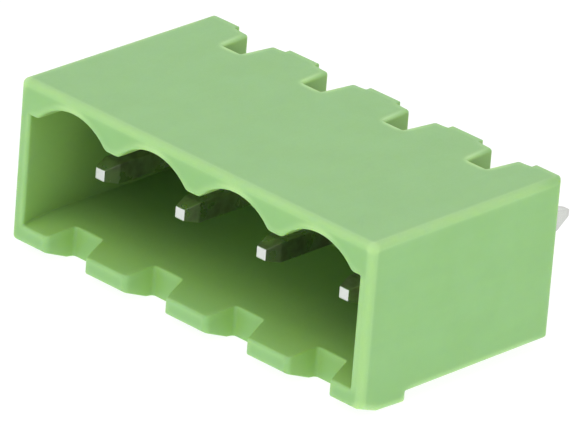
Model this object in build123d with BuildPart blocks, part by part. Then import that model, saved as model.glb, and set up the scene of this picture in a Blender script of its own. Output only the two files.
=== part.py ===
"""Board header of a pluggable terminal block: one moulded housing and a row of straight contact pins.

The header lies on its locking side. X runs along the pin row, Y from the mouth to the board,
Z is up. The origin is on the middle of the pin row, in the plane that seats on the board.
Lengths are in millimetres.
"""
from build123d import *
import os

# Contact row
poles = 4
pitch = 5.08

# Square contact pins
pin_side = 1.0
pin_tip_setback = 2.0
tail_length = 4.3
tip_side = 0.55
tip_length = 0.8
tail_tip_side = 0.35
tail_tip_length = 1.1

# Housing, measured outwards from the pin axes
housing_depth = 12.0
rear_wall = 2.6
end_margin = 2.63
end_wall = 0.7
floor_drop = 2.68
floor_wall = 1.07
land_rise = 2.45
crown_rise = 3.45
crown_wall = 0.65

# Scalloped roof of the plug cavity, one arch over each pin
arch_width = 4.24
land_round = 0.4

# Ramp that the plug's latch rides over, on the outside of the floor along the mouth
ramp_length = 3.0
ramp_slope_length = 1.2
ramp_height = 0.5
ramp_land_fall = 0.07
ramp_crest_round = 0.1
ramp_root_round = 0.2

# Curve inside the mouth that leads the plug in
lead_in_length = 2.5
lead_in_drop = 0.3

# Gaps that leave a row of coding teeth along the mouth edge of the floor
gap_depth = 1.55
gap_left = 1.1
gap_right = 1.47
gap_root_left = 0.8
gap_root_right = 0.93
gap_root_round = 0.2
tooth_round = 0.3
tooth_edge_round = 0.12

# Standoff feet on the board side, with a channel between them behind each pin
foot_height = 0.3
channel_left = 1.52
channel_right = 1.68

# Notches in the top edge of the board side
notch_left = 0.66
notch_right = 0.97
notch_floor_left = 0.45
notch_floor_right = 0.62
notch_web = 0.5
notch_drop = 2.6
notch_round = 0.2

# Rounding of the outer edges and of the mouth
edge_round = 0.3
toe_round = 0.15
mouth_round = 0.15

# Distance by which a cutting profile runs past the surface that it opens
overrun = 1.0

# Share of its wall or neighbour that a rounding may take, and the closeness that counts as the same place
round_share = 0.9
same_place = 1e-6

# Derived places
pin_span = (poles - 1) * pitch
pin_places = [number * pitch - pin_span / 2 for number in range(poles)]
cavity_width = pin_span + 2 * end_margin
housing_width = cavity_width + 2 * end_wall
mouth_y = -housing_depth
floor_z = -floor_drop
underside_z = floor_z - floor_wall
crest_z = underside_z - ramp_height
top_z = crown_rise + crown_wall
height = top_z - crest_z
cavity_depth = housing_depth - rear_wall
pin_tip_y = mouth_y + pin_tip_setback
notch_depth = rear_wall - notch_web
land_width = pitch - arch_width
land_corner = min(land_round, round_share * land_width)
mouth_corner = min(mouth_round, round_share * land_corner)

os.makedirs("parts", exist_ok=True)


def finish(part, name):
    """Label a finished piece and write it to its own file."""
    part.label = name
    export_step(part, f"parts/{name}.step")


# Moulded housing
with BuildPart() as housing:
    # Outer shell from its side profile, with the latch ramp and its land under the mouth
    with BuildSketch(Plane.YZ) as side_profile:
        with BuildLine():
            Polyline(
                (0, top_z),
                (mouth_y, top_z),
                (mouth_y, underside_z),
                (mouth_y + ramp_slope_length, crest_z + ramp_land_fall),
                (mouth_y + ramp_length, crest_z),
                (mouth_y + ramp_length, underside_z),
                (0, underside_z),
                close=True,
            )
        make_face()
        root = side_profile.vertices().filter_by(lambda v: abs(v.Y - underside_z) < same_place)
        fillet(side_profile.vertices().sort_by(Axis.Y)[0], radius=ramp_crest_round)
        fillet(root.sort_by(Axis.X)[1], radius=ramp_root_round)
        fillet(side_profile.vertices().group_by(Axis.X)[0].sort_by(Axis.Y)[0], radius=toe_round)
        fillet(side_profile.vertices().group_by(Axis.X)[0].sort_by(Axis.Y)[-1], radius=edge_round)
    extrude(amount=housing_width / 2, both=True)
    fillet(housing.faces().filter_by(Axis.X).edges(), radius=edge_round)

    # Plug cavity with a scalloped roof
    with BuildSketch(Plane.XZ.offset(housing_depth)) as cavity_profile:
        with Locations((0, (land_rise + floor_z) / 2)):
            Rectangle(cavity_width, land_rise - floor_z)
        for place in pin_places:
            with BuildLine():
                ThreePointArc(
                    (place - arch_width / 2, land_rise),
                    (place, crown_rise),
                    (place + arch_width / 2, land_rise),
                )
                Line((place + arch_width / 2, land_rise), (place - arch_width / 2, land_rise))
            make_face()
        inner = cavity_profile.vertices().filter_by(lambda v: abs(v.X) < cavity_width / 2 - same_place)
        fillet(inner, radius=land_corner)
    extrude(amount=-cavity_depth, mode=Mode.SUBTRACT)

    # Lead-in curve along the mouth edge of the floor
    with BuildSketch(Plane.YZ):
        with BuildLine():
            TangentArc(
                (mouth_y + lead_in_length, floor_z),
                (mouth_y, floor_z - lead_in_drop),
                tangent=(-1, 0),
            )
            Polyline(
                (mouth_y, floor_z - lead_in_drop),
                (mouth_y - overrun, floor_z - lead_in_drop),
                (mouth_y - overrun, floor_z + overrun),
                (mouth_y + lead_in_length, floor_z + overrun),
                (mouth_y + lead_in_length, floor_z),
            )
        make_face()
    extrude(amount=cavity_width / 2, both=True, mode=Mode.SUBTRACT)

    # Rounding around the mouth
    mouth_face = housing.faces().filter_by(Axis.Y).sort_by(Axis.Y)[0]
    fillet(mouth_face.inner_wires()[0].edges(), radius=mouth_corner)

    # Gaps between the coding teeth, cut through the floor and the ramp
    with BuildSketch(Plane.XY.offset(crest_z - overrun)) as gaps:
        for place in pin_places:
            with BuildLine():
                Polyline(
                    (place - gap_left - overrun, mouth_y),
                    (place - gap_left, mouth_y),
                    (place - gap_root_left, mouth_y + gap_depth),
                    (place + gap_root_right, mouth_y + gap_depth),
                    (place + gap_right, mouth_y),
                    (place + gap_right + overrun, mouth_y),
                    (place + gap_right + overrun, mouth_y - overrun),
                    (place - gap_left - overrun, mouth_y - overrun),
                    close=True,
                )
            make_face()
        for place in pin_places:
            corners = gaps.vertices().filter_by(lambda v: abs(v.Y - mouth_y) < same_place)
            fillet(corners.sort_by_distance((place - gap_left, mouth_y))[0], radius=tooth_round)
            fillet(corners.sort_by_distance((place + gap_right, mouth_y))[0], radius=tooth_edge_round)
        fillet(gaps.vertices().group_by(Axis.Y)[-1], radius=gap_root_round)
    extrude(amount=floor_z - crest_z + 2 * overrun, mode=Mode.SUBTRACT)

    # Channels across the board side leave the standoff feet
    with BuildSketch(Plane.XY.offset(crest_z)):
        for place in pin_places:
            with Locations((place + (channel_right - channel_left) / 2, -foot_height / 2)):
                Rectangle(channel_right + channel_left, foot_height)
    extrude(amount=height, mode=Mode.SUBTRACT)

    # Notches in the top edge of the board side
    with BuildSketch(Plane.XY.offset(top_z)):
        for place in pin_places:
            with BuildLine():
                Polyline(
                    (place - notch_left, 0),
                    (place - notch_floor_left, -notch_depth),
                    (place + notch_floor_right, -notch_depth),
                    (place + notch_right, 0),
                    close=True,
                )
            make_face()
    extrude(amount=-notch_drop, mode=Mode.SUBTRACT)
    upright_edges = housing.edges().filter_by(Axis.Z)
    channel_edges = upright_edges.filter_by(lambda e: abs(e.center().Y + foot_height) < same_place)
    fillet(channel_edges.filter_by(lambda e: abs(e.length - notch_drop) < same_place), radius=notch_round)

    # Square holes that grip the pins
    with BuildSketch(Plane.XZ):
        for place in pin_places:
            with Locations((place, 0)):
                Rectangle(pin_side, pin_side)
    extrude(amount=rear_wall, mode=Mode.SUBTRACT)

finish(housing.part, "housing")

# Contact pins, each one straight bar with a tapered tip at both ends
for number, place in enumerate(pin_places, start=1):
    with BuildPart() as contact_pin:
        with BuildSketch(Plane.XZ.offset(-tail_length + tail_tip_length)) as shank:
            with Locations((place, 0)):
                Rectangle(pin_side, pin_side)
        extrude(amount=tail_length - tail_tip_length - pin_tip_y - tip_length)
        with BuildSketch(Plane.XZ.offset(-pin_tip_y - tip_length)):
            with Locations((place, 0)):
                Rectangle(pin_side, pin_side)
        with BuildSketch(Plane.XZ.offset(-pin_tip_y)):
            with Locations((place, 0)):
                Rectangle(tip_side, tip_side)
        loft()
        with BuildSketch(Plane.XZ.offset(-tail_length + tail_tip_length)):
            with Locations((place, 0)):
                Rectangle(pin_side, pin_side)
        with BuildSketch(Plane.XZ.offset(-tail_length)):
            with Locations((place, 0)):
                Rectangle(tail_tip_side, tail_tip_side)
        loft()
    finish(contact_pin.part, f"contact_pin_{number}")

print(f"housing {housing_width:.2f} x {housing_depth:.2f} x {height:.2f}")
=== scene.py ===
"""Dresses the board header of a pluggable terminal block: green moulding, tinned pins, studio."""

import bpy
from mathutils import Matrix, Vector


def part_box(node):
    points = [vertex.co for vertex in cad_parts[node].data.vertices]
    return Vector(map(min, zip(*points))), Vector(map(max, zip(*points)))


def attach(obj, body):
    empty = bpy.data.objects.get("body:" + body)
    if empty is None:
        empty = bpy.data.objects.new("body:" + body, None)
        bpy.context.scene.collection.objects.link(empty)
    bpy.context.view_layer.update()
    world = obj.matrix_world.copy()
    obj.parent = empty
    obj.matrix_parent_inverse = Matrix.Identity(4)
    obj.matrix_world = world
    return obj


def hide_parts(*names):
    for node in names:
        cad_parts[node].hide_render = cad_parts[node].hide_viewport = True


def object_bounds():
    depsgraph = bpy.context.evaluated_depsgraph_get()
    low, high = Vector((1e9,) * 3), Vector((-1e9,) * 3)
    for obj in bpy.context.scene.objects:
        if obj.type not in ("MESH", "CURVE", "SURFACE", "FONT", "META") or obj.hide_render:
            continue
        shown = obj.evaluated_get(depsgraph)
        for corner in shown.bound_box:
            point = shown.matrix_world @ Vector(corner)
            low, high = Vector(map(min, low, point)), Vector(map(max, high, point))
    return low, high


bl_info = {
    "name": "Pluggable terminal block header",
    "version": (1, 0, 0),
    "blender": (4, 5, 0),
    "location": "View3D > Sidebar > Header",
    "description": "Builds the moulded housing, the contact pins and the studio of a board header",
    "category": "Object",
}

import math

import bmesh
import bpy
from bpy.props import FloatProperty, FloatVectorProperty, PointerProperty
from mathutils import Matrix, Vector

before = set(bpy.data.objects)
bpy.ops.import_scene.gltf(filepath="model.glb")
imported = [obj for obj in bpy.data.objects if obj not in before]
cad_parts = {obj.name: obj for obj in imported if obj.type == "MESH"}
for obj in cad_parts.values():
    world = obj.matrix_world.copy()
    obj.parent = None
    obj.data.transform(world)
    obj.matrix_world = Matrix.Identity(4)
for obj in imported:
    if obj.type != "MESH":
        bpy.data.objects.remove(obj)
cad_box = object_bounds()

MM = 0.001
PIN_NODES = sorted(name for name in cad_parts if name.startswith("contact_pin"))

# Closeness at which the solids' loose corners are merged
MERGE_REACH = 0.0005 * MM
# Fold that counts as a sharp edge of the housing, and the steepest one that smooth shading runs over
SHARP_ANGLE = math.radians(32)
SMOOTH_ANGLE = math.radians(40)
# Fold that counts as a corner of a pin, and the one under which two facets of a pin are one face
PIN_CORNER_ANGLE = math.radians(12)
PIN_FLAT_ANGLE = math.radians(0.6)
# The upward faces below this height are the cavity's floor
FLOOR_LEVEL = -2.0 * MM
# Shares of the lead-in at which its first flat facet is cut across
LEAD_IN_CUTS = (0.08, 0.18, 0.28)
# Cosine of the angle within which a facet counts as lying on the lead-in curve
ON_CURVE = 0.998
# The rims of the rear notches lie between these depths from the board side, and this far from the ends
NOTCH_START = 0.2 * MM
NOTCH_REACH = 2.2 * MM
NOTCH_MARGIN = 1.0 * MM
# Closeness to the top that counts as on it, for an edge and for a face
TOP_EDGE_REACH = 0.01 * MM
TOP_FACE_REACH = 0.001 * MM

# Photograph's width and the camera's focal length in its pixels, and the point that the camera looks at
PHOTO_WIDTH = 583.0
FOCAL_PIXELS = 7862.594
SENSOR_WIDTH = 36.0
CAMERA_TARGET = Vector((0.495, -6.0, 0.024)) * MM
# Where the lamp stands as seen from the middle of the header, and its side
LAMP_TARGET = Vector((0.0, -6.0, 0.0)) * MM
LAMP_AZIMUTH = math.radians(15.0)
LAMP_ELEVATION = math.radians(65.0)
LAMP_REACH = 0.30
LAMP_SIDE = 0.26
# Half the width of the white paper
PAPER_REACH = 1.2


class HeaderSizes(bpy.types.PropertyGroup):
    """Small sizes that the dressing adds to the solids."""

    edge_softness: FloatProperty(
        name="Edge softness",
        description="Width of the rounding on the housing's last sharp edges",
        default=0.06 * MM,
        unit="LENGTH",
        precision=6,
    )
    # Reach of the painted shade in the hollows and the plug cavity
    shade_reach: FloatProperty(
        name="Recess depth",
        description="Reach over which walls round a spot make it count as recessed",
        default=8.0 * MM,
        unit="LENGTH",
        precision=6,
    )
    lead_in_length: FloatProperty(
        name="Lead-in length",
        description="Depth of the curve in the floor behind the mouth",
        default=2.5 * MM,
        unit="LENGTH",
        precision=6,
    )
    lead_in_drop: FloatProperty(
        name="Lead-in drop",
        description="Fall of the floor at the mouth",
        default=0.3 * MM,
        unit="LENGTH",
        precision=6,
    )
    notch_roll: FloatProperty(
        name="Notch roll",
        description="Width of the rounding along the top of each rear notch",
        default=0.15 * MM,
        unit="LENGTH",
        precision=6,
    )
    edge_roll: FloatProperty(
        name="Edge roll",
        description="Distance over which the shading turns round an edge of the housing",
        default=0.14 * MM,
        unit="LENGTH",
        precision=6,
    )
    pin_edge: FloatProperty(
        name="Pin edge",
        description="Width of the rounding along the edges of a contact pin",
        default=0.05 * MM,
        unit="LENGTH",
        precision=6,
    )
    glow_depth: FloatProperty(
        name="Glow depth",
        description="How far light travels inside the green nylon",
        default=0.12 * MM,
        unit="LENGTH",
        precision=6,
    )
    # Width of the painted highlight band along the housing's corners
    painted_highlight_width: FloatProperty(
        name="Edge glow",
        description="Width of the brighter band along the housing's corners, where light passes through",
        default=0.42 * MM,
        unit="LENGTH",
        precision=6,
    )


class HeaderColours(bpy.types.PropertyGroup):
    """Colours of the moulding, the contacts and the studio."""

    nylon: FloatVectorProperty(
        name="Nylon",
        description="Main green of the moulding",
        default=(0.29, 0.535, 0.19),
        size=3,
        subtype="COLOR",
        min=0.0,
        max=1.0,
    )
    nylon_pale: FloatVectorProperty(
        name="Pale nylon",
        description="Paler green of the mottling",
        default=(0.30, 0.55, 0.205),
        size=3,
        subtype="COLOR",
        min=0.0,
        max=1.0,
    )
    # Painted highlight: brighter green painted along the lit edges
    nylon_painted_highlight: FloatVectorProperty(
        name="Nylon edge",
        description="Bright green where the moulding is thin enough to glow",
        default=(0.47, 0.72, 0.30),
        size=3,
        subtype="COLOR",
        min=0.0,
        max=1.0,
    )
    # Painted shade in notches, gaps and the front of the plug cavity
    nylon_hollow_shade: FloatVectorProperty(
        name="Nylon hollow",
        description="Yellower green in notches, gaps and the front of the plug cavity",
        default=(0.31, 0.53, 0.14),
        size=3,
        subtype="COLOR",
        min=0.0,
        max=1.0,
    )
    # Painted shade deep in the plug cavity
    nylon_deep_shade: FloatVectorProperty(
        name="Nylon recess",
        description="Deeper green at the bottom of the plug cavity",
        default=(0.20, 0.345, 0.105),
        size=3,
        subtype="COLOR",
        min=0.0,
        max=1.0,
    )
    tin: FloatVectorProperty(
        name="Tin",
        description="Plating of the contact pins",
        default=(0.60, 0.62, 0.58),
        size=3,
        subtype="COLOR",
        min=0.0,
        max=1.0,
    )
    tin_dull: FloatVectorProperty(
        name="Dull tin",
        description="Oxidised patches of the plating",
        default=(0.56, 0.55, 0.53),
        size=3,
        subtype="COLOR",
        min=0.0,
        max=1.0,
    )
    # Painted shade: darker, browner tin on the part of each pin in front of the board side
    tin_shaded: FloatVectorProperty(
        name="Worn tin",
        description="Brownish tin along the contact zone",
        default=(0.40, 0.34, 0.36),
        size=3,
        subtype="COLOR",
        min=0.0,
        max=1.0,
    )
    # Painted highlight on the flat end of each tip
    tin_tip_highlight: FloatVectorProperty(
        name="Cut tip",
        description="Bright metal on the flat end of the tip",
        default=(0.71, 0.74, 0.71),
        size=3,
        subtype="COLOR",
        min=0.0,
        max=1.0,
    )


class HeaderStudio(bpy.types.PropertyGroup):
    """Light levels and the view of the photograph."""

    sky: FloatProperty(
        name="Sky",
        description="Level of the even light all round",
        default=0.74,
        min=0.0,
    )
    table: FloatProperty(
        name="Table",
        description="Level of the light that comes up from the table",
        default=0.56,
        min=0.0,
    )
    key: FloatProperty(
        name="Key light",
        description="Power of the large lamp high over the front",
        default=0.29,
        min=0.0,
        unit="POWER",
    )
    azimuth: FloatProperty(
        name="Azimuth",
        description="Turn of the camera round the header",
        default=math.radians(42.65),
        subtype="ANGLE",
    )
    elevation: FloatProperty(
        name="Elevation",
        description="Height of the camera over the header",
        default=math.radians(24.758),
        subtype="ANGLE",
    )
    roll: FloatProperty(
        name="Roll",
        description="Tilt of the camera, which stands for the slight tilt of the header on its ramps",
        default=math.radians(4.694),
        subtype="ANGLE",
    )
    distance: FloatProperty(
        name="Distance",
        description="Distance from the camera to its aim",
        default=0.348307,
        unit="LENGTH",
    )


class NodeSheet:
    """Short way to add and join the nodes of one material or of the sky."""

    def __init__(self, owner, output="ShaderNodeOutputMaterial"):
        self.owner = owner
        owner.use_nodes = True
        self.tree = owner.node_tree
        self.tree.nodes.clear()
        self.output = self.add(output)

    def add(self, kind, **values):
        """Adds a node of the given kind with its settings."""
        node = self.tree.nodes.new(kind)
        for key, value in values.items():
            setattr(node, key, value)
        return node

    def join(self, source, target):
        """Links an output to an input."""
        self.tree.links.new(source, target)

    def place(self, scale=(1.0, 1.0, 1.0)):
        """Object coordinates in millimetres, stretched by scale."""
        coordinates = self.add("ShaderNodeTexCoord")
        mapping = self.add("ShaderNodeMapping")
        mapping.inputs["Scale"].default_value = [value / MM for value in scale]
        self.join(coordinates.outputs["Object"], mapping.inputs["Vector"])
        return mapping.outputs["Vector"]

    def noise(self, vector, scale, detail, roughness):
        """Soft random pattern between 0 and 1."""
        node = self.add("ShaderNodeTexNoise")
        node.inputs["Scale"].default_value = scale
        node.inputs["Detail"].default_value = detail
        node.inputs["Roughness"].default_value = roughness
        self.join(vector, node.inputs["Vector"])
        return node.outputs["Fac"]

    def span(self, source, low, high, to_low=0.0, to_high=1.0):
        """Smooth step from to_low to to_high while the source goes from low to high."""
        node = self.add("ShaderNodeMapRange", interpolation_type="SMOOTHSTEP")
        node.inputs["From Min"].default_value = low
        node.inputs["From Max"].default_value = high
        node.inputs["To Min"].default_value = to_low
        node.inputs["To Max"].default_value = to_high
        self.join(source, node.inputs["Value"])
        return node.outputs["Result"]

    def blend(self, factor, first, second):
        """Mixes two colours, each a value or an output."""
        node = self.add("ShaderNodeMix", data_type="RGBA")
        self.join(factor, node.inputs[0])
        for socket, value in ((6, first), (7, second)):
            if isinstance(value, bpy.types.NodeSocket):
                self.join(value, node.inputs[socket])
            else:
                node.inputs[socket].default_value = (*value, 1.0)
        return node.outputs[2]

    def math(self, operation, first, second):
        """Joins two numbers, each a value or an output."""
        node = self.add("ShaderNodeMath", operation=operation)
        for socket, value in enumerate((first, second)):
            if isinstance(value, bpy.types.NodeSocket):
                self.join(value, node.inputs[socket])
            else:
                node.inputs[socket].default_value = value
        return node.outputs[0]

    def light(self, kind, strength):
        """White emission or background."""
        node = self.add(kind)
        node.inputs["Color"].default_value = (1.0, 1.0, 1.0, 1.0)
        node.inputs["Strength"].default_value = strength
        return node.outputs[0]

    def show(self, plain, white, share):
        """Shows the white shader to the camera and to shiny surfaces, and the plain one to the rest."""
        path = self.add("ShaderNodeLightPath")
        seen = path.outputs["Is Camera Ray"]
        for ray in ("Is Glossy Ray", "Is Transmission Ray"):
            seen = self.math("MAXIMUM", seen, path.outputs[ray])
        mixed = self.add("ShaderNodeMixShader")
        for socket, source in enumerate((self.math("MULTIPLY", seen, share), plain, white)):
            self.join(source, mixed.inputs[socket])
        self.join(mixed.outputs[0], self.output.inputs["Surface"])

    def enclosure(self, distance, inside=False):
        """Falls from 1 to 0 where the piece itself closes in on a spot, or drops away from it when inside is set."""
        node = self.add("ShaderNodeAmbientOcclusion", inside=inside, only_local=True, samples=16)
        node.inputs["Distance"].default_value = distance
        return node.outputs["AO"]

    def soft_edges(self, radius):
        """Normal that turns gradually round the edges."""
        node = self.add("ShaderNodeBevel", samples=6)
        node.inputs["Radius"].default_value = radius
        return node.outputs["Normal"]

    def bump(self, height, strength, distance, normal=None):
        """Fine relief on top of a normal."""
        node = self.add("ShaderNodeBump")
        node.inputs["Strength"].default_value = strength
        node.inputs["Distance"].default_value = distance
        self.join(height, node.inputs["Height"])
        if normal is not None:
            self.join(normal, node.inputs["Normal"])
        return node.outputs["Normal"]


def green_nylon(sizes, colours):
    """Satin moulded nylon, slightly translucent, with a spark-eroded grain, a painted highlight along the lit edges
    and painted shade in the hollows.
    """
    sheet = NodeSheet(bpy.data.materials.new("green_nylon"))
    place = sheet.place()
    clouds = sheet.noise(place, scale=0.45, detail=4.0, roughness=0.55)
    flow = sheet.noise(sheet.place((1.6, 0.22, 1.6)), scale=1.3, detail=3.0, roughness=0.5)
    grain = sheet.noise(place, scale=14.0, detail=3.0, roughness=0.6)
    waves = sheet.noise(place, scale=0.9, detail=2.0, roughness=0.45)

    tone = sheet.blend(sheet.span(clouds, low=0.35, high=0.68), colours.nylon, colours.nylon_pale)
    streaks = sheet.span(flow, low=0.4, high=0.75, to_high=0.12)
    tone = sheet.blend(streaks, tone, [value * 1.15 for value in colours.nylon])

    # Painted highlight: a brighter, paler green band along the convex edges of the crown and the right end, weaker
    # towards the board and elsewhere
    along = sheet.add("ShaderNodeSeparateXYZ")
    sheet.join(place, along.inputs[0])
    crown = sheet.span(along.outputs["Z"], low=3.35, high=3.7, to_low=0.3)
    end = sheet.span(along.outputs["X"], low=10.3, high=10.7, to_low=0.3)
    front = sheet.span(along.outputs["Y"], low=-2.0, high=-0.3, to_low=1.0, to_high=0.25)
    corners = sheet.enclosure(sizes.painted_highlight_width, inside=True)
    glow = sheet.math("MULTIPLY", sheet.math("MAXIMUM", crown, end), front)
    glow = sheet.math("MULTIPLY", glow, sheet.span(corners, low=0.78, high=1.0, to_low=1.0, to_high=0.0))
    tone = sheet.blend(glow, tone, colours.nylon_painted_highlight)

    # Painted shade: yellower, then deeper green where the walls close in
    recess = sheet.enclosure(sizes.shade_reach)
    hollow = sheet.span(recess, low=0.6, high=0.98, to_low=1.0, to_high=0.0)
    tone = sheet.blend(hollow, tone, colours.nylon_hollow_shade)
    bottom = sheet.span(recess, low=0.02, high=0.6, to_low=1.0, to_high=0.0)
    tone = sheet.blend(bottom, tone, colours.nylon_deep_shade)

    surface = sheet.add("ShaderNodeBsdfPrincipled")
    surface.subsurface_method = "RANDOM_WALK"
    sheet.join(tone, surface.inputs["Base Color"])
    surface.inputs["Subsurface Weight"].default_value = 1.0
    surface.inputs["Subsurface Radius"].default_value = (1.0, 1.0, 0.25)
    surface.inputs["Subsurface Scale"].default_value = sizes.glow_depth
    surface.inputs["IOR"].default_value = 1.5
    surface.inputs["Specular IOR Level"].default_value = 0.65
    surface.inputs["Specular Tint"].default_value = (0.6, 0.7, 1.0, 1.0)
    sheet.join(sheet.span(grain, low=0.3, high=0.7, to_low=0.42, to_high=0.52), surface.inputs["Roughness"])
    relief = sheet.bump(grain, strength=0.25, distance=0.012 * MM, normal=sheet.soft_edges(sizes.edge_roll))
    relief = sheet.bump(waves, strength=0.3, distance=0.02 * MM, normal=relief)
    sheet.join(relief, surface.inputs["Normal"])
    sheet.join(surface.outputs["BSDF"], sheet.output.inputs["Surface"])
    return sheet.owner


def tinned_contact(colours, tip, board):
    """Tin plating with drawing lines and dull patches, darker and browner in front of the board side as painted
    shade, with a painted highlight on the flat end of the tip and plainer tin on the tail.
    """
    sheet = NodeSheet(bpy.data.materials.new("tinned_contact"))
    place = sheet.place()
    patches = sheet.noise(place, scale=1.3, detail=2.0, roughness=0.5)
    lines = sheet.noise(sheet.place((20.0, 0.3, 20.0)), scale=1.0, detail=1.0, roughness=0.5)
    pits = sheet.noise(place, scale=9.0, detail=2.0, roughness=0.5)

    along = sheet.add("ShaderNodeSeparateXYZ")
    sheet.join(place, along.inputs[0])
    depth = along.outputs["Y"]
    # Painted shade: darker, browner tin in front of the board side, plainer tin on the tail
    shaded_tin = sheet.blend(sheet.span(patches, low=0.35, high=0.75), colours.tin_dull, colours.tin_shaded)
    fresh = sheet.blend(sheet.span(patches, low=0.42, high=0.72), colours.tin, colours.tin_dull)
    tone = sheet.blend(sheet.span(depth, low=board - 0.4, high=board), shaded_tin, fresh)
    # Painted highlight on the flat end of the tip
    cut = sheet.span(depth, low=tip + 0.02, high=tip + 0.06, to_low=1.0, to_high=0.0)
    tone = sheet.blend(cut, tone, colours.tin_tip_highlight)

    surface = sheet.add("ShaderNodeBsdfPrincipled")
    sheet.join(tone, surface.inputs["Base Color"])
    surface.inputs["Metallic"].default_value = 1.0
    sheet.join(sheet.span(patches, low=0.3, high=0.8, to_low=0.26, to_high=0.42), surface.inputs["Roughness"])
    relief = sheet.bump(lines, strength=0.2, distance=0.01 * MM)
    relief = sheet.bump(pits, strength=0.06, distance=0.01 * MM, normal=relief)
    sheet.join(relief, surface.inputs["Normal"])
    sheet.join(surface.outputs["BSDF"], sheet.output.inputs["Surface"])
    return sheet.owner


def studio_paper(level):
    """White paper on a light table, which looks white to the camera and keeps a soft shadow."""
    sheet = NodeSheet(bpy.data.materials.new("studio_paper"))
    fibres = sheet.noise(sheet.place(), scale=0.6, detail=4.0, roughness=0.6)
    tone = sheet.blend(fibres, (0.84, 0.84, 0.84), (0.88, 0.88, 0.88))
    paper = sheet.add("ShaderNodeBsdfDiffuse")
    sheet.join(tone, paper.inputs["Color"])
    lit = sheet.add("ShaderNodeAddShader")
    sheet.join(paper.outputs[0], lit.inputs[0])
    sheet.join(sheet.light("ShaderNodeEmission", level), lit.inputs[1])
    sheet.show(lit.outputs[0], sheet.light("ShaderNodeEmission", 1.0), share=0.8)
    return sheet.owner


def studio_sky(level):
    """Even white light all round, which looks white to the camera."""
    sheet = NodeSheet(bpy.data.worlds.new("studio_sky"), "ShaderNodeOutputWorld")
    plain = sheet.light("ShaderNodeBackground", level)
    sheet.show(plain, sheet.light("ShaderNodeBackground", 1.0), share=1.0)
    return sheet.owner


def corner_normals(shape, curve):
    """Shading normals of all corners, set by the large faces, or by curve where a face lies on it."""
    for edge in shape.edges:
        edge.smooth = edge.is_manifold and edge.calc_face_angle() < SMOOTH_ANGLE
    for face in shape.faces:
        face.smooth = True
    weight = {face: face.calc_area() ** 2 for face in shape.faces}
    exact = {face: curve(face.calc_center_median()) for face in shape.faces}
    normals = []
    for face in shape.faces:
        for loop in face.loops:
            fan = [face]
            for member in fan:
                for edge in member.edges:
                    if edge.smooth and loop.vert in edge.verts:
                        fan.extend(other for other in edge.link_faces if other not in fan)
            total = Vector()
            for other in fan:
                total += other.normal * weight[other]
            for other in fan:
                if exact[other] and exact[other].dot(other.normal) > ON_CURVE:
                    total = curve(loop.vert.co) or total
            normals.append(total.normalized() if total.length > 0.0 else face.normal)
    return normals


def no_curve(place):
    """Stands for a piece without a curve that gives exact normals."""
    return None


def finish_piece(shape, name, material, curve=no_curve):
    """Turns a bmesh into a smooth-shaded object at the origin."""
    mesh = bpy.data.meshes.new(name)
    normals = corner_normals(shape, curve)
    shape.to_mesh(mesh)
    shape.free()
    mesh.materials.append(material)
    mesh.normals_split_custom_set(normals)
    piece = bpy.data.objects.new(name, mesh)
    bpy.context.scene.collection.objects.link(piece)
    return piece


def merged_copy(node):
    """Copy of a solid's mesh with its loose corners joined."""
    shape = bmesh.new()
    shape.from_mesh(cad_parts[node].data)
    bmesh.ops.remove_doubles(shape, verts=shape.verts, dist=MERGE_REACH)
    return shape


def sharp_edges(shape):
    """Edges of the housing that are still sharp."""
    return [edge for edge in shape.edges if edge.is_manifold and edge.calc_face_angle() > SHARP_ANGLE]


def lead_in_arc(length, drop):
    """Radius of the lead-in curve and the place where it starts."""
    return (length * length + drop * drop) / (2.0 * drop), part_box("housing")[0].y + length


def round_lead_in(shape, length, drop):
    """Adds lines across the first facet of the lead-in and sets them on its curve."""
    radius, start = lead_in_arc(length, drop)
    for share in LEAD_IN_CUTS:
        reach = share * length
        floor = [
            face
            for face in shape.faces
            if face.normal.z > 0.95 and max(corner.co.z for corner in face.verts) < FLOOR_LEVEL
        ]
        edges = dict.fromkeys(edge for face in floor for edge in face.edges)
        corners = dict.fromkeys(corner for face in floor for corner in face.verts)
        height = max(corner.co.z for corner in corners)
        cut = bmesh.ops.bisect_plane(
            shape,
            geom=[*corners, *edges, *floor],
            dist=0.001 * MM,
            plane_co=(0.0, start - reach, 0.0),
            plane_no=(0.0, 1.0, 0.0),
        )
        for item in cut["geom_cut"]:
            if isinstance(item, bmesh.types.BMVert):
                item.co.z = height - radius + math.sqrt(radius * radius - reach * reach)
    shape.normal_update()


def lead_in_normal(length, drop):
    """Gives the exact normal of the lead-in curve at a place on it, and nothing elsewhere."""
    radius, start = lead_in_arc(length, drop)

    def normal_at(place):
        reach = start - place.y
        if place.z < FLOOR_LEVEL and 0.0 < reach < length:
            return Vector((0.0, -reach / radius, math.sqrt(1.0 - (reach / radius) ** 2)))
        return None

    return normal_at


def notch_rims(shape):
    """Top edges round each rear notch and along its channel."""
    low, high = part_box("housing")
    rims = []
    for edge in sharp_edges(shape):
        corners = [vertex.co for vertex in edge.verts]
        on_top = all(corner.z > high.z - TOP_EDGE_REACH for corner in corners)
        behind = all(high.y - NOTCH_REACH < corner.y < high.y - NOTCH_START for corner in corners)
        inside = all(low.x + NOTCH_MARGIN < corner.x < high.x - NOTCH_MARGIN for corner in corners)
        if on_top and behind and inside:
            rims.append(edge)
    return rims


def soften(shape, edges, width, segments):
    """Rounds the given edges."""
    bmesh.ops.bevel(
        shape,
        geom=edges,
        offset=width,
        offset_type="OFFSET",
        affect="EDGES",
        segments=segments,
        profile=0.5,
        material=-1,
        clamp_overlap=False,
    )


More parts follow.
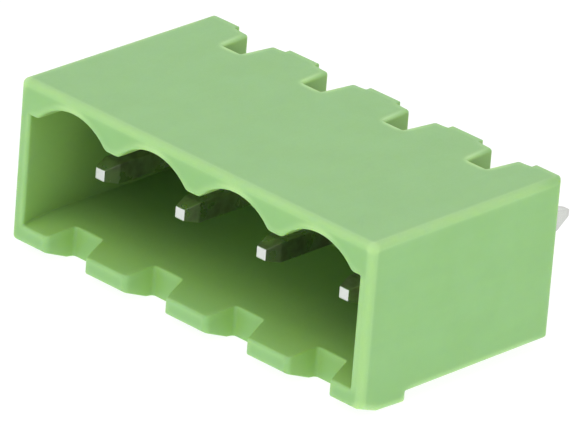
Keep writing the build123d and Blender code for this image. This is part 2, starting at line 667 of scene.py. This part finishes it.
class HEADER_OT_housing(bpy.types.Operator):
    """Copies the housing, clears its lead-in and top of facets and softens its last sharp edges."""

    bl_idname = "header.housing"
    bl_label = "Moulded housing"

    def execute(self, context):
        sizes, colours = context.scene.header_sizes, context.scene.header_colours
        shape = merged_copy("housing")
        round_lead_in(shape, sizes.lead_in_length, sizes.lead_in_drop)
        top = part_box("housing")[1].z - TOP_FACE_REACH
        roof = [face for face in shape.faces if all(corner.co.z > top for corner in face.verts)]
        bmesh.ops.dissolve_faces(shape, faces=roof)
        soften(shape, notch_rims(shape), sizes.notch_roll, segments=3)
        soften(shape, sharp_edges(shape), sizes.edge_softness, segments=2)
        curve = lead_in_normal(sizes.lead_in_length, sizes.lead_in_drop)
        piece = finish_piece(shape, "housing_moulding", green_nylon(sizes, colours), curve)
        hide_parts("housing")
        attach(piece, "root")
        return {"FINISHED"}


class HEADER_OT_contact_pins(bpy.types.Operator):
    """Copies each square pin with its tapered tips, joins its flat facets and breaks its edges."""

    bl_idname = "header.contact_pins"
    bl_label = "Contact pins"

    def execute(self, context):
        sizes, colours = context.scene.header_sizes, context.scene.header_colours
        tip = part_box(PIN_NODES[0])[0][1] / MM
        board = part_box("housing")[1][1] / MM
        material = tinned_contact(colours, tip, board)
        for node in PIN_NODES:
            shape = merged_copy(node)
            bmesh.ops.dissolve_limit(
                shape, angle_limit=PIN_FLAT_ANGLE, verts=shape.verts, edges=shape.edges, delimit={"NORMAL"}
            )
            corners = [edge for edge in shape.edges if edge.calc_face_angle() > PIN_CORNER_ANGLE]
            soften(shape, corners, sizes.pin_edge, segments=3)
            piece = finish_piece(shape, node.replace("contact_pin", "tinned_pin"), material)
            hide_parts(node)
            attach(piece, "root")
        return {"FINISHED"}


def aim(subject, place, target, roll=0.0):
    """Puts a lamp or the camera at place, looking at target."""
    back = (place - target).normalized()
    right = (-back).cross(Vector((0.0, 0.0, 1.0))).normalized()
    up = right.cross(-back)
    turned_right = right * math.cos(roll) + up * math.sin(roll)
    turned_up = up * math.cos(roll) - right * math.sin(roll)
    turn = Matrix((turned_right, turned_up, back)).transposed()
    subject.matrix_world = Matrix.Translation(place) @ turn.to_4x4()


def direction(azimuth, elevation):
    """Unit vector from the header towards a viewer or a lamp."""
    return Vector(
        (
            math.sin(azimuth) * math.cos(elevation),
            -math.cos(azimuth) * math.cos(elevation),
            math.sin(elevation),
        )
    )


class HEADER_OT_studio(bpy.types.Operator):
    """Lays the white paper under the header and sets the lamp, the sky and the camera."""

    bl_idname = "header.studio"
    bl_label = "Studio"

    def execute(self, context):
        studio = context.scene.header_studio
        scene = context.scene
        level = Matrix.Translation((0.0, 0.0, cad_box[0][2]))

        shape = bmesh.new()
        bmesh.ops.create_grid(shape, x_segments=1, y_segments=1, size=PAPER_REACH, matrix=level)
        mesh = bpy.data.meshes.new("studio_floor")
        shape.to_mesh(mesh)
        shape.free()
        mesh.materials.append(studio_paper(studio.table))
        floor = bpy.data.objects.new("studio_floor", mesh)
        scene.collection.objects.link(floor)

        scene.world = studio_sky(studio.sky)

        lamp = bpy.data.lights.new("key_lamp", "AREA")
        lamp.shape = "SQUARE"
        lamp.size = LAMP_SIDE
        lamp.energy = studio.key
        stand = bpy.data.objects.new("key_lamp", lamp)
        scene.collection.objects.link(stand)
        towards = direction(LAMP_AZIMUTH, LAMP_ELEVATION)
        aim(stand, LAMP_TARGET + towards * LAMP_REACH, LAMP_TARGET)

        lens = bpy.data.cameras.new("photo_camera")
        lens.sensor_fit = "HORIZONTAL"
        lens.sensor_width = SENSOR_WIDTH
        lens.lens = FOCAL_PIXELS * SENSOR_WIDTH / PHOTO_WIDTH
        lens.clip_start = 0.01
        lens.clip_end = 10.0
        camera = bpy.data.objects.new("photo_camera", lens)
        scene.collection.objects.link(camera)
        towards = direction(studio.azimuth, studio.elevation)
        aim(camera, CAMERA_TARGET + towards * studio.distance, CAMERA_TARGET, studio.roll)
        scene.camera = camera
        scene.view_settings.view_transform = "Standard"
        return {"FINISHED"}


class HEADER_PT_sidebar(bpy.types.Panel):
    """Lists the header's values and its building steps."""

    bl_label = "Terminal block header"
    bl_idname = "HEADER_PT_sidebar"
    bl_space_type = "VIEW_3D"
    bl_region_type = "UI"
    bl_category = "Header"

    def draw(self, context):
        layout = self.layout
        for group in (context.scene.header_sizes, context.scene.header_colours, context.scene.header_studio):
            box = layout.box()
            for name in group.bl_rna.properties.keys():
                if name not in {"rna_type", "name"}:
                    box.prop(group, name)
        for step in STEPS:
            layout.operator(step.bl_idname)


STEPS = (HEADER_OT_housing, HEADER_OT_contact_pins, HEADER_OT_studio)
CLASSES = (HeaderSizes, HeaderColours, HeaderStudio, *STEPS, HEADER_PT_sidebar)


def register():
    """Adds the classes and the header's values to the scene."""
    for item in CLASSES:
        bpy.utils.register_class(item)
    bpy.types.Scene.header_sizes = PointerProperty(type=HeaderSizes)
    bpy.types.Scene.header_colours = PointerProperty(type=HeaderColours)
    bpy.types.Scene.header_studio = PointerProperty(type=HeaderStudio)


def unregister():
    """Takes them out again."""
    del bpy.types.Scene.header_studio
    del bpy.types.Scene.header_colours
    del bpy.types.Scene.header_sizes
    for item in reversed(CLASSES):
        bpy.utils.unregister_class(item)


def main():
    """Builds every piece, then the studio."""
    register()
    bpy.ops.header.housing()
    bpy.ops.header.contact_pins()
    bpy.ops.header.studio()


if __name__ == "__main__":
    main()
